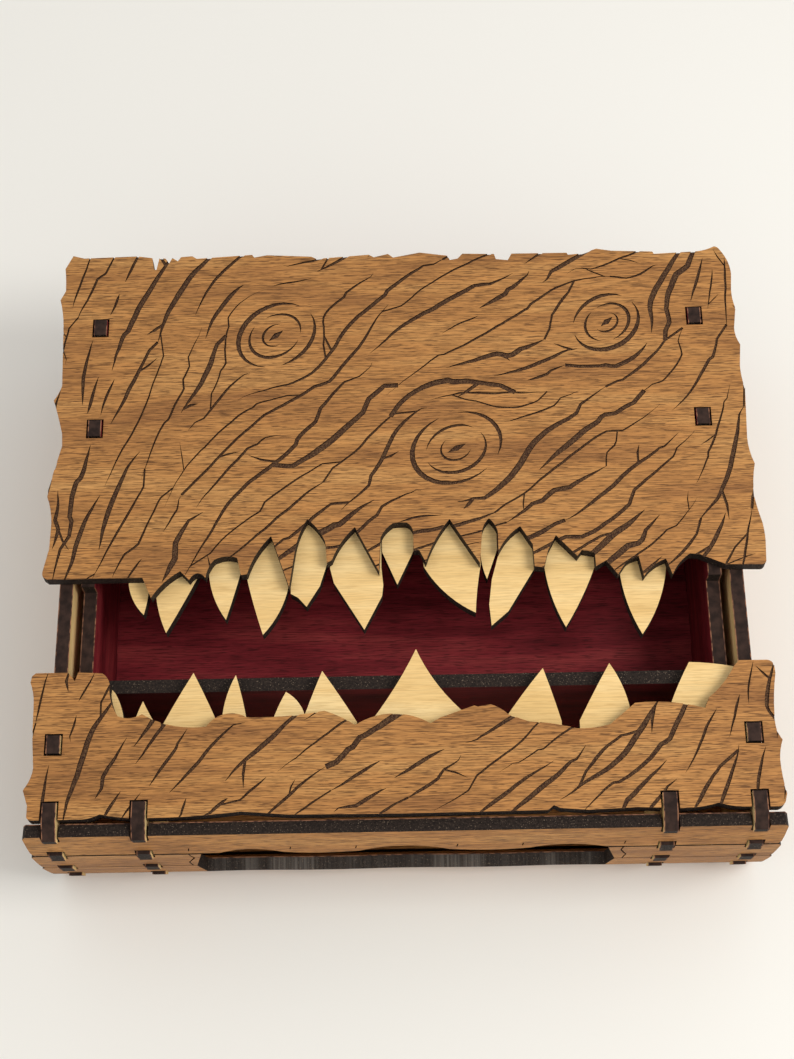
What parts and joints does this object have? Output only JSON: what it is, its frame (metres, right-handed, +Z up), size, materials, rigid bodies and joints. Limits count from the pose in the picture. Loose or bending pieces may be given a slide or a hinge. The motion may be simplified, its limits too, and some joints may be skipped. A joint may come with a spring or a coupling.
{
  "type": "dice storage chest",
  "caption": "Toothed wooden dice chest: a maroon drawer under a ragged lid slides in an open-backed sleeve, opening and closing a mouth between two jaws.",
  "frame": {"origin": "on the underside of the sleeve's base panel, in the middle of the sleeve", "axes": "+X to the right along the front, +Y from the front to the back along the drawer's travel, +Z up"},
  "size_m": [0.1707, 0.1518, 0.0474],
  "materials": {
    "stained_plywood": "brown oil stain on sanded plywood, burnt laser-cut edges",
    "bare_birch_plywood": "bare sanded birch plywood, burnt laser-cut edges",
    "maroon_plywood": "deep red dye on plywood, grain visible, burnt laser-cut edges"
  },
  "bodies": {
    "sleeve": {"base_panel": "stained_plywood", "left_side_wall": "stained_plywood", "right_side_wall": "stained_plywood", "left_brace": "stained_plywood", "right_brace": "stained_plywood", "front_plank_1": "stained_plywood", "front_plank_2_left": "stained_plywood", "front_plank_2_right": "stained_plywood", "front_plank_3_left": "stained_plywood", "front_plank_3_right": "stained_plywood", "front_plank_4": "stained_plywood", "lower_jaw_plate": "stained_plywood", "lower_teeth_plate": "bare_birch_plywood"},
    "drawer": {"drawer_floor": "maroon_plywood", "drawer_left_wall": "maroon_plywood", "drawer_right_wall": "maroon_plywood", "drawer_front_wall": "maroon_plywood", "drawer_back_wall": "maroon_plywood", "upper_jaw_plate": "stained_plywood", "upper_teeth_plate": "bare_birch_plywood"}
  },
  "joints": [
    {"name": "drawer_slide", "type": "slide", "parent": "sleeve", "child": "drawer", "axis": [0, 1, 0], "range_m": [-0.016, 0.04]}
  ]
}
